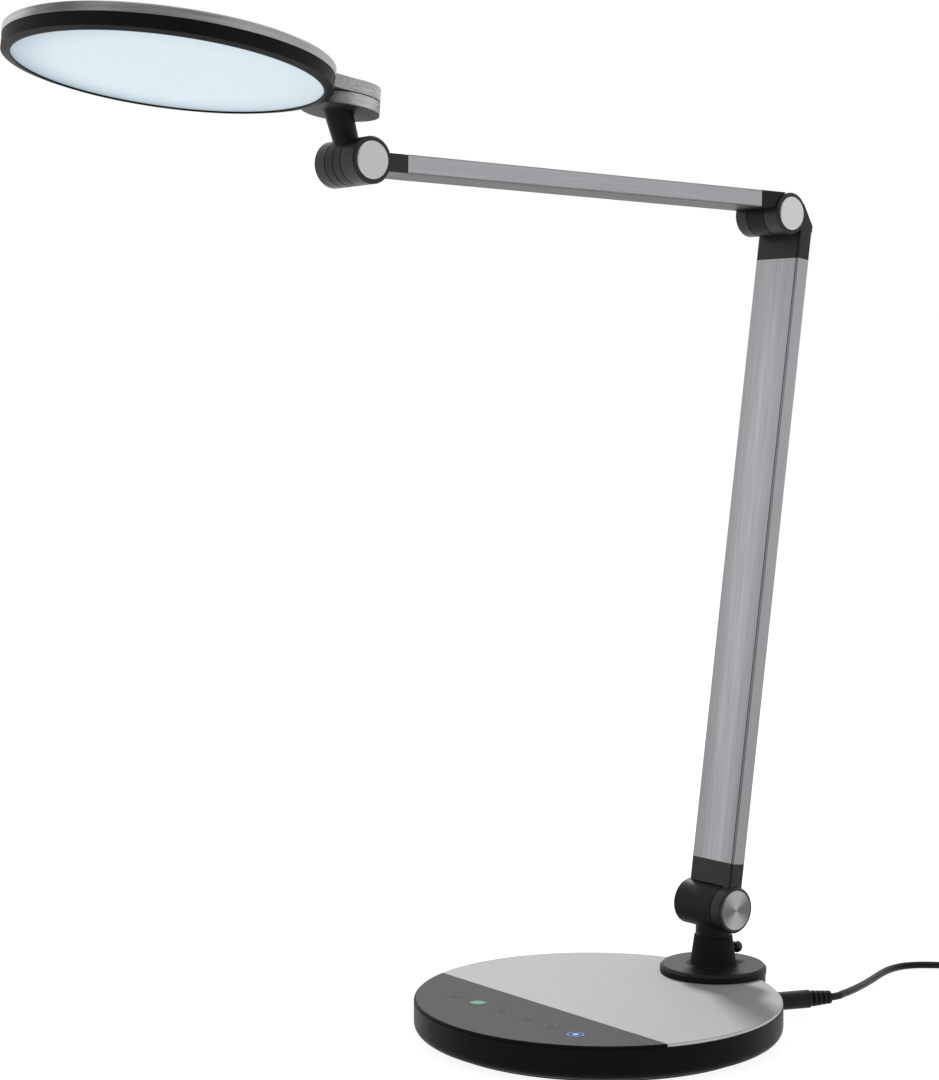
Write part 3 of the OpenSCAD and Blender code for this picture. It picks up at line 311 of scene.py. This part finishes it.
# Where things are
shoulder_at = joints["shoulder"]["pos_m"]
elbow_at = joints["elbow"]["pos_m"]
tilt_at = joints["head_tilt"]["pos_m"]
puck_at = joints["head_swivel"]["pos_m"]
LOWER_LEAN = 8.0
LOWER_LEN = 371.7 * MM
LOWER_W = 31.2 * MM
LOWER_T = 8.6 * MM
UPPER_RISE = 0.9
UPPER_W = 29 * MM
UPPER_T = 8.8 * MM
UPPER_MID = 6.7 * MM
UPPER_UNDER = UPPER_MID - UPPER_T / 2
KNUCKLE_R = 11.2 * MM
NECK_R = 24.8 / 2 * MM
HEAD_REACH = 91.8 * MM
HEAD_R = 145.7 / 2 * MM
PUCK_R = 35.8 / 2 * MM
PANEL_R = 68.35 * MM
head_turn = (-8.3, -1.4, 0)
head_way = Euler([math.radians(a) for a in head_turn]).to_matrix()
head_at = Vector(puck_at) + head_way @ Vector((0, -HEAD_REACH, 0))
BASE_H = 19.3 * MM
BASE_R = 95 * MM
# The row of keys lies this far in front of the base's middle, with the blue key at this x
KEY_ROW = 57.1 * MM
BLUE_KEY_X = 48.5 * MM

# Materials
black = moulded("black_satin", (0.0115, 0.0115, 0.0118), 0.40, specular=0.28)
black_base = moulded("black_base", (0.0030, 0.0030, 0.0031), 0.42, grain=1800, specular=0.06)
black_joint = moulded("black_joint", (0.0115, 0.0115, 0.0117), 0.42, specular=0.10)
bezel_black = moulded("bezel_black", (0.0052, 0.0052, 0.0054), 0.48, grain=3000, specular=0.07)

# Swivel post: rough on its neck, smoother on its disc
s = Shader("black_post", (0.0066, 0.0066, 0.0068), 0.46, specular=0.14)
radius = s.polar(s.local(shoulder_at))[0]
s.feed(s.span(radius, NECK_R + 1.2 * MM, NECK_R + 3 * MM, 0.75, 0.46), "Roughness")
grained(s)
black_post = s.mat

# Stem of the head: its knuckle is grey, its shaft nearly black
KNUCKLE_TONE = (0.024, 0.024, 0.0243)
SHAFT_TONE = (0.0020, 0.0020, 0.0021)
s = Shader("black_stem", KNUCKLE_TONE, 0.40, specular=0.15)
radius = s.polar(s.local(tilt_at), round_x=True)[0]
shaft = s.span(radius, KNUCKLE_R - 0.5 * MM, KNUCKLE_R + 0.5 * MM, 0.0, 1.0)
s.feed(s.mix(shaft, KNUCKLE_TONE, SHAFT_TONE), "Base Color")
s.feed(s.span(s.noise(s.local(), PATCHES, 3), *NOISE_WIDE, 0.36, 0.46), "Roughness")
grained(s)
black_stem = s.mat

rubber = moulded("rubber", (0.02, 0.02, 0.02), 0.75, grain=1500, depth=0.06 * MM, specular=0.25)
vinyl = moulded("vinyl", (0.0060, 0.0060, 0.0060), 0.45, grain=2200, specular=0.15)
tie_band = moulded("tie_band", (0.022, 0.022, 0.024), 0.8, grain=900, depth=0.12 * MM, specular=0.2)
adapter_plastic = moulded("adapter_plastic", (0.010, 0.010, 0.0105), 0.5, grain=1400, depth=0.06 * MM)
acetal = moulded("acetal", (0.62, 0.60, 0.53), 0.45, patch=0.04)
board_green = moulded("board_green", (0.02, 0.11, 0.05), 0.4, grain=700, patch=0.2)
strip_yellow = moulded("strip_yellow", (0.75, 0.66, 0.35), 0.45, patch=0.06)
film_white = moulded("film_white", (0.85, 0.85, 0.85), 0.6, patch=0.02)
acrylic = moulded("acrylic", (0.82, 0.87, 0.9), 0.2, patch=0.02)
iron = moulded("iron", (0.05, 0.048, 0.046), 0.7, grain=600, depth=0.2 * MM, patch=0.25)

# Arm tubes: the painted sheen along the lower one, painted highlight and shade in its tone, is (share of
# its length, factor) pairs; its side faces are painted in shade
ARM_TONE = (0.355, 0.358, 0.372)
FRONT_PAINTED_SHEEN = ((0.15, 0.91), (0.45, 1.02), (0.75, 1.05), (0.9, 0.9))
SIDE_PAINTED_SHADE = ((0.15, 0.66), (0.45, 0.74), (0.9, 0.90))
SWAY = 6 * MM
BAND_FROM, BAND_TO = 4 * MM, 14 * MM


def paint_arm_light(s, here, tone):
    """Painted light: a painted highlight along a band in the middle of the wide faces, painted shade on
    the side faces, and painted light that changes along the arm.
    """
    x, _, z = s.split(here)
    waver = s.math("SUBTRACT", s.noise(s.scaled(here, (60, 60, 9)), 1.0, 2), 0.5)
    across = s.math("ABSOLUTE", s.math("ADD", x, s.math("MULTIPLY", waver, SWAY)))
    along = s.math("DIVIDE", z, LOWER_LEN)
    front = s.ramp(along, *[(place, (f, f, f)) for place, f in FRONT_PAINTED_SHEEN])
    side = s.ramp(along, *[(place, shade(ARM_TONE, f)) for place, f in SIDE_PAINTED_SHADE])
    # Painted highlight and sheen on the wide faces, painted shade mixed in towards the sides
    middle = s.mix(1.0, tone, front, blend="MULTIPLY")
    return s.mix(s.span(across, BAND_FROM, BAND_TO, 0.0, 0.7), middle, side)


def paint_underside_shade(s, here, tone):
    """Painted shade: the lower face of the level arm is painted a darker grey than its sides."""
    y = s.split(here)[1]
    lower = s.span(y, UPPER_UNDER + 0.02 * MM, UPPER_UNDER + 0.15 * MM, 1.0, 0.0)
    return s.mix(lower, tone, shade(ARM_TONE, 0.31))


lower_metal = brushed(
    "lower_arm_metal", shade(ARM_TONE, 1.10), 0.38, (1000, 1000, 26), shoulder_at, (-LOWER_LEAN, 0, 0),
    contrast=0.17, painted_light=paint_arm_light, corner=(LOWER_W / 2, 0.0, LOWER_T / 2),
)
upper_metal = brushed(
    "upper_arm_metal", ARM_TONE, 0.40, (900, 900, 20), elbow_at, (90 - UPPER_RISE, 0, 0),
    contrast=0.10, edge=0.64, painted_light=paint_underside_shade, corner=(UPPER_W / 2, UPPER_MID, UPPER_T / 2),
)

# Head and puck: the painted sheen round each, painted highlight and shade in the tone, is (degrees,
# factor) pairs
HEAD_TONE = (0.375, 0.377, 0.381)
HEAD_PAINTED_SHEEN = (
    (-180, 0.7), (-128, 1.05), (-100, 1.3), (-90, 1.15), (-79, 0.46),
    (-69, 0.32), (-50, 0.72), (-10, 0.85), (40, 0.95), (180, 0.7),
)
PUCK_TONE = (0.46, 0.462, 0.465)
PUCK_PAINTED_SHEEN = (
    (-180, 0.75), (-90, 0.6), (-52, 0.66), (-30, 0.78), (-8, 0.92), (10, 1.0), (60, 1.05), (180, 0.75),
)
PUCK_BRUSH = {"rings": 1500, "contrast": 0.22, "calm": PUCK_R - 1 * MM}
# The puck's lower face is darkened as painted shade, and a painted sheen runs round it
puck_metal = turned(
    "puck_metal", PUCK_TONE, 0.38, puck_at, head_turn, painted_sheen=PUCK_PAINTED_SHEEN, painted_under_shade=0.6, edge=0.35, **PUCK_BRUSH
)

# The head is brushed round its own axis, and round the pivot beyond its rim
s = Shader("head_metal", HEAD_TONE, 0.40, metal=1.0)
rim_tone, rim_fine, radius, angle, _ = spun(
    s, HEAD_TONE, head_at, head_turn, rings=1300, contrast=0.2, calm=HEAD_R - 0.8 * MM
)
at_rim = s.span(radius, HEAD_R - 8 * MM, HEAD_R - 1 * MM, 0.25, 1.0)
# Painted sheen: highlight and shade painted round the head's rim, fainter towards its middle
rim_tone = with_painted_sheen(s, rim_tone, angle, HEAD_PAINTED_SHEEN, at_rim)
hub_tone, _, _, hub_angle, _ = spun(s, shade(PUCK_TONE, 0.85), puck_at, head_turn, **PUCK_BRUSH)
# Painted sheen round the hub, as on the puck
hub_tone = with_painted_sheen(s, hub_tone, hub_angle, PUCK_PAINTED_SHEEN)
beyond = s.span(radius, HEAD_R + 0.2 * MM, HEAD_R + 0.5 * MM, 0.0, 1.0)
polished(s, s.mix(beyond, rim_tone, hub_tone), rim_fine, 0.40)
head_metal = s.mat

# The shoulder cap's two darker sectors are painted shade, standing in for a spun face's bow-tie highlight
shoulder_spun = turned("shoulder_spun", (0.345, 0.35, 0.345), 0.32, shoulder_at, round_x=True, painted_wedge_shade=0.62)
elbow_spun = turned("elbow_spun", (0.58, 0.58, 0.58), 0.42, elbow_at, round_x=True)
tilt_spun = turned("tilt_spun", (0.50, 0.50, 0.50), 0.42, tilt_at, round_x=True)
steel = brushed("steel", (0.52, 0.53, 0.55), 0.35, (300, 300, 300), contrast=0.05)
nickel = brushed("nickel", (0.62, 0.61, 0.58), 0.25, (40, 900, 900), contrast=0.06)
dark_steel = moulded("dark_steel", (0.006, 0.006, 0.006), 0.33, specular=0.35)
sheet_metal = brushed("sheet_metal", (0.6, 0.6, 0.61), 0.4, (30, 900, 900))

# Top plate: fine satin sheet with a faint cloudy sheen, and a painted highlight along its rim
PLATE_TONE = (0.275, 0.275, 0.279)
s = Shader("top_plate_metal", PLATE_TONE, 0.60, metal=0.5, specular=0.12, edge=0.35)
here = s.local()
fine = s.noise(s.scaled(here, (60, 1400, 900)), 1.0, 3)
cloud = s.noise(here, 28, 4, 0.6)
both = s.math("ADD", s.math("MULTIPLY", fine, 0.4), s.math("MULTIPLY", cloud, 0.6))
tone = varied(s, both, PLATE_TONE, 0.07, NOISE_MID)
radius = s.polar(here)[0]
# Painted highlight: a bright band painted along the plate's rim
rim = s.span(radius, BASE_R - 0.9 * MM, BASE_R - 0.6 * MM, 0.0, 1.0)
s.feed(s.mix(rim, tone, (0.55, 0.55, 0.56)), "Base Color")
s.feed(s.span(cloud, *NOISE_WIDE, 0.56, 0.65), "Roughness")
s.bump(fine, 0.08, STREAK_DEPTH)
plate_metal = s.mat

# Touch panel: smoked sheet, with painted shade along its edge
PANEL_TONE = (0.033, 0.033, 0.034)
PANEL_EDGE_SHADE = (0.003, 0.003, 0.003)


def panel_shader(name):
    """The panel's shader, with its tone and the height above the desk, for marks to build on."""
    s = Shader(name, PANEL_TONE, 0.42, specular=0.05)
    here = s.local()
    radius, _, height = s.polar(here)
    cloud = s.noise(here, 60, 3)
    tone = varied(s, cloud, PANEL_TONE, 0.05)
    # Painted shade along the panel's edge, where it meets the shell
    edge = s.span(radius, BASE_R - 1.3 * MM, BASE_R - 1.0 * MM, 0.0, 1.0)
    s.feed(s.span(cloud, *NOISE_WIDE, 0.38, 0.46), "Roughness")
    s.bump(s.noise(here, GRAIN, 2), 0.2, 0.01 * MM)
    return s, s.mix(edge, tone, PANEL_EDGE_SHADE), height


s, tone, _ = panel_shader("touch_panel_smoked")
s.feed(tone, "Base Color")
panel_smoked = s.mat


# A lit mark's paler dot, and where it ends
CORE_R, CORE_END = 1.5 * MM, 2.2 * MM


def mark_shader(name, color, glow, core=None):
    """A key mark: the raised strokes take the mark's colour, the flush part is the panel.

    core is (x, colour) of a paler dot in the mark at that x in the row of keys.
    """
    s, tone, height = panel_shader(name)
    if core:
        core_x, core_color = core
        radius = s.polar(s.local((core_x, -KEY_ROW, 0)))[0]
        color = s.mix(s.span(radius, CORE_R, CORE_END, 1.0, 0.0), color, core_color)
    lit = s.span(height, BASE_H + 0.02 * MM, BASE_H + 0.06 * MM, 0.0, 1.0)
    s.feed(s.mix(lit, tone, color), "Base Color")
    if glow:
        s.feed(s.mix(lit, (0.0, 0.0, 0.0), color), "Emission Color")
        s.put("Emission Strength", glow)
    return s.mat


dim_mark = mark_shader("dim_mark", (0.062, 0.066, 0.066), 0)
green_mark = mark_shader("green_mark", (0.09, 0.24, 0.15), 0.30)
blue_mark = mark_shader("blue_mark", (0.10, 0.14, 0.42), 0.55, core=(BLUE_KEY_X, (0.22, 0.34, 0.60)))

# Diffuser: opal sheet lit from its rim, dimmer along the outer edge away from the hinge
MIDDLE_GLOW = (0.55, 0.64, 0.705)
RIM_GLOW = (0.235, 0.32, 0.375)
DIM_FROM = 0.64
FAR_X, FAR_Y = -0.75, -0.3
s = Shader("opal_lit", (0.10, 0.11, 0.115), 0.5, specular=0.2)
here = s.local(head_at, head_turn)
share = s.math("DIVIDE", s.polar(here)[0], PANEL_R)
x, y, _ = s.split(s.scaled(here, (1 / PANEL_R, 1 / PANEL_R, 1)))
far = s.math("ADD", s.math("MULTIPLY", x, FAR_X), s.math("MULTIPLY", y, FAR_Y))
rim = s.span(share, DIM_FROM, 1.0, 0.0, 1.0)
dim = s.math("MULTIPLY", s.math("MULTIPLY", rim, rim), s.span(far, -0.7, 0.75, 0.2, 1.0))
s.feed(s.mix(dim, MIDDLE_GLOW, RIM_GLOW), "Emission Color")
s.put("Emission Strength", 1.0)
s.bump(s.noise(s.local(), 1200, 2), 0.05, STREAK_DEPTH)
opal = s.mat

MATERIALS = {
    black: ["shoulder_fitting", "elbow_fork", "tilt_fork"],
    black_joint: ["shoulder_knuckle", "elbow_knuckle"],
    black_post: ["swivel_post"],
    black_stem: ["tilt_stem"],
    black_base: ["base_shell", "dc_jack"],
    bezel_black: ["bezel"],
    rubber: ["foot_pad"],
    vinyl: ["dc_plug"],
    tie_band: ["coil_tie"],
    adapter_plastic: ["power_adapter"],
    acetal: ["swivel_bush", "elbow_washers", "tilt_washers", "pivot_washer"],
    board_green: ["touch_board", "control_board"],
    strip_yellow: ["led_ring"],
    film_white: ["reflector"],
    acrylic: ["light_guide"],
    iron: ["base_weight"],
    lower_metal: ["lower_tube"],
    upper_metal: ["upper_tube"],
    head_metal: ["head_shell"],
    puck_metal: ["lower_puck", "pivot_cover"],
    shoulder_spun: ["shoulder_cap", "knuckle_cap"],
    elbow_spun: ["elbow_caps"],
    tilt_spun: ["tilt_caps"],
    steel: [
        "bottom_cover", "cover_screws", "weight_screws", "swivel_washer", "swivel_nut",
        "shoulder_bolt", "shoulder_nut", "shoulder_washers", "elbow_bolt", "elbow_nut",
        "tilt_bolt", "tilt_nut", "pivot_bolt", "head_screws",
    ],
    nickel: ["adapter_blades"],
    dark_steel: ["neck_screw"],
    sheet_metal: ["heat_plate"],
    plate_metal: ["top_plate"],
    panel_smoked: ["touch_panel"],
    dim_mark: ["touch_marks"],
    green_mark: ["mode_light"],
    blue_mark: ["power_light"],
    opal: ["diffuser"],
}
for material, names in MATERIALS.items():
    for name in names:
        data = nodes[name].data
        data.materials.clear()
        data.materials.append(material)

# The top plate's rim is rounded over
nodes["top_plate"].modifiers.new("weld", "WELD").merge_threshold = 0.01 * MM
rim = nodes["top_plate"].modifiers.new("rim", "BEVEL")
rim.width = 0.7 * MM
rim.segments = 3
rim.limit_method = "ANGLE"
rim.angle_limit = math.radians(50)
rim.harden_normals = True

# The power lead
# The route's points, as in the part's source, in millimetres
CORD_D = 4
SOCKET_ANGLE, SOCKET_Z = 69, 8.5
PLUG_GAP, GRIP_LEN, RELIEF_LEN = 0.5, 24.6, 11.4
PLUG_END = BASE_R / MM + PLUG_GAP + GRIP_LEN + RELIEF_LEN
plug_way = Vector((math.cos(math.radians(SOCKET_ANGLE)), math.sin(math.radians(SOCKET_ANGLE)), 0))
run_start = PLUG_END * plug_way + Vector((0, 0, SOCKET_Z))
RUN = [
    (47.9, 129.3, 8.4), (46.2, 133.6, 8.2), (43.7, 140.3, 7.6), (38.3, 152.4, 6.5), (31.6, 166.2, 5.2),
    (24.1, 181.1, 4), (16.2, 196.4, 3), (10.6, 209.5, 2.4), (8.4, 218.8, 2.1), (8.4, 225.6, 2),
    (10, 230.6, 2), (12.3, 234.8, 2), (15.1, 238.5, 2), (20.5, 243.2, 2.2), (28, 248.9, 2.6),
    (36.5, 255.8, 2.8),
]
TIE_T, TIE_UNDER = 0.7, 0.2
COIL_AT = Vector((64, 246, TIE_T + TIE_UNDER + CORD_D / 2))
COIL_START, COIL_TURNS, COIL_LAYERS = 130, 10.111, 4
COIL_R, COIL_PITCH, COIL_TAIL = 25.8, 4.5, 17
LAYER_TURNS = COIL_TURNS / COIL_LAYERS
RUN_STEPS, STEPS_PER_TURN = 4, 40


def ease(u):
    u = min(max(u, 0), 1)
    return u * u * (3 - 2 * u)


def coil_point(t):
    """A point t turns along the coil, which spirals in and out and climbs a layer where it reverses."""
    layer = min(int(t / LAYER_TURNS), COIL_LAYERS - 1)
    along = (t - layer * LAYER_TURNS) * COIL_PITCH
    r = COIL_R - along if layer % 2 == 0 else COIL_R - COIL_PITCH * LAYER_TURNS + along
    climb = sum(ease((t - k * LAYER_TURNS + 0.25) / 0.5) for k in range(1, COIL_LAYERS))
    a = math.radians(COIL_START - 360 * t)
    return COIL_AT + Vector((r * math.cos(a), r * math.sin(a), COIL_PITCH * climb))


def coil_way(degrees):
    a = math.radians(degrees)
    return Vector((math.sin(a), -math.cos(a), 0))


def smooth_through(points, steps):
    """Points on a smooth curve through the given ones."""
    out = []
    for i in range(1, len(points) - 2):
        a, b, c, d = points[i - 1 : i + 3]
        for k in range(steps):
            u = k / steps
            bend = 2 * a - 5 * b + 4 * c - d
            twist = 3 * b - a - 3 * c + d
            out.append(0.5 * (2 * b + (c - a) * u + bend * u * u + twist * u ** 3))
    return out


entry_way = coil_way(COIL_START)
coil_entry = coil_point(0) - CORD_D * entry_way
anchors = [run_start - CORD_D * plug_way, run_start, run_start + CORD_D / 2 * plug_way]
anchors += [Vector(p) for p in RUN]
anchors += [coil_entry - CORD_D * entry_way, coil_entry, coil_point(0)]
route = smooth_through(anchors, RUN_STEPS) + [coil_entry]
rings = math.ceil(COIL_TURNS * STEPS_PER_TURN)
route += [coil_point(COIL_TURNS * i / rings) for i in range(rings + 1)]
end_way = coil_way(COIL_START - 360 * COIL_TURNS)
route += [coil_point(COIL_TURNS) + COIL_TAIL / 2 * end_way, coil_point(COIL_TURNS) + COIL_TAIL * end_way]

lead_data = bpy.data.curves.new("power_lead", "CURVE")
lead_data.dimensions = "3D"
lead_data.bevel_depth = CORD_D / 2 * MM
lead_data.bevel_resolution = 4
lead_data.use_fill_caps = True
spline = lead_data.splines.new("POLY")
spline.points.add(len(route) - 1)
for point, p in zip(spline.points, route):
    point.co = (*(p * MM), 1)
spline.use_smooth = True
lead = bpy.data.objects.new("power_lead", lead_data)
bpy.context.scene.collection.objects.link(lead)
lead_data.materials.append(vinyl)
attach(lead, "base")
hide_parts("cord_run", "cord_coil")

# Floor and studio light
# The camera and mirror-like surfaces see a white room; the light that falls on the object is less
ROOM_SEEN = 1.0
ROOM_LIGHT = 0.8
FLOOR_SEEN = 0.9
FLOOR_LIGHT = 0.7


def seen(tree, light, white):
    """A strength that is white for the camera and for reflections, and light for all else."""
    path = tree.nodes.new("ShaderNodeLightPath")
    either = path.outputs["Is Camera Ray"]
    for ray in ("Is Glossy Ray", "Is Transmission Ray"):
        pick = tree.nodes.new("ShaderNodeMath")
        pick.operation = "MAXIMUM"
        tree.links.new(either, pick.inputs[0])
        tree.links.new(path.outputs[ray], pick.inputs[1])
        either = pick.outputs[0]
    strength = tree.nodes.new("ShaderNodeMapRange")
    strength.inputs["To Min"].default_value = light
    strength.inputs["To Max"].default_value = white
    tree.links.new(either, strength.inputs["Value"])
    return strength.outputs[0]


def stage_plane(name, corners, material):
    data = bpy.data.meshes.new(name)
    data.from_pydata(corners, [], [(0, 1, 2, 3)])
    data.materials.append(material)
    plane = bpy.data.objects.new(name, data)
    bpy.context.scene.collection.objects.link(plane)
    return plane


FLOOR_HALF = 40
FLOOR_Z = -0.2 * MM
FLOOR_TONE = (0.2, 0.2, 0.2)
s = Shader("light_table", FLOOR_TONE, 0.9, specular=0.0)
cloud = s.noise(s.local(), 3, 3)
s.feed(varied(s, cloud, FLOOR_TONE, 0.025), "Base Color")
s.put("Emission Color", (1, 1, 1, 1))
s.feed(seen(s.tree, FLOOR_LIGHT, FLOOR_SEEN), "Emission Strength")
stage_plane(
    "floor",
    [(x * FLOOR_HALF, y * FLOOR_HALF, FLOOR_Z) for x, y in ((-1, -1), (1, -1), (1, 1), (-1, 1))],
    s.mat,
)

# A grey cloth behind the camera's place keeps the black parts from mirroring the bright room
FLAG_AWAY, FLAG_HALF, FLAG_H = 2.0, 1.5, 1.9
s = Shader("flag_cloth", (0.42, 0.42, 0.42), 0.9, specular=0.0)
s.bump(s.noise(s.local(), 400, 2), 0.3, 0.001)
flag_way = Vector((0.78, -0.62, 0)).normalized()
flag_side = Vector((-flag_way.y, flag_way.x, 0))
flag_left, flag_right = (FLAG_AWAY * flag_way + w * flag_side for w in (-FLAG_HALF, FLAG_HALF))
flag_up = Vector((0, 0, FLAG_H))
flag = stage_plane("flag", [flag_left, flag_right, flag_right + flag_up, flag_left + flag_up], s.mat)
flag.visible_camera = False

world = bpy.data.worlds.new("studio")
world.use_nodes = True
room = world.node_tree.nodes["Background"]
room.inputs["Color"].default_value = (1, 1, 1, 1)
world.node_tree.links.new(seen(world.node_tree, ROOM_LIGHT, ROOM_SEEN), room.inputs["Strength"])
bpy.context.scene.world = world


def area_light(name, place, target, size, power):
    data = bpy.data.lights.new(name, "AREA")
    data.shape = "RECTANGLE"
    data.size, data.size_y = size
    data.energy = power
    light = bpy.data.objects.new(name, data)
    light.location = place
    light.rotation_mode = "QUATERNION"
    light.rotation_quaternion = (Vector(target) - Vector(place)).to_track_quat("-Z", "Y")
    bpy.context.scene.collection.objects.link(light)


area_light("key", place=(-1.27, 0.89, 1.56), target=(0, 0, 0.1), size=(0.26, 0.26), power=36)
area_light("top", place=(0.0, -0.2, 2.4), target=(0, 0, 0), size=(2.0, 2.0), power=5)
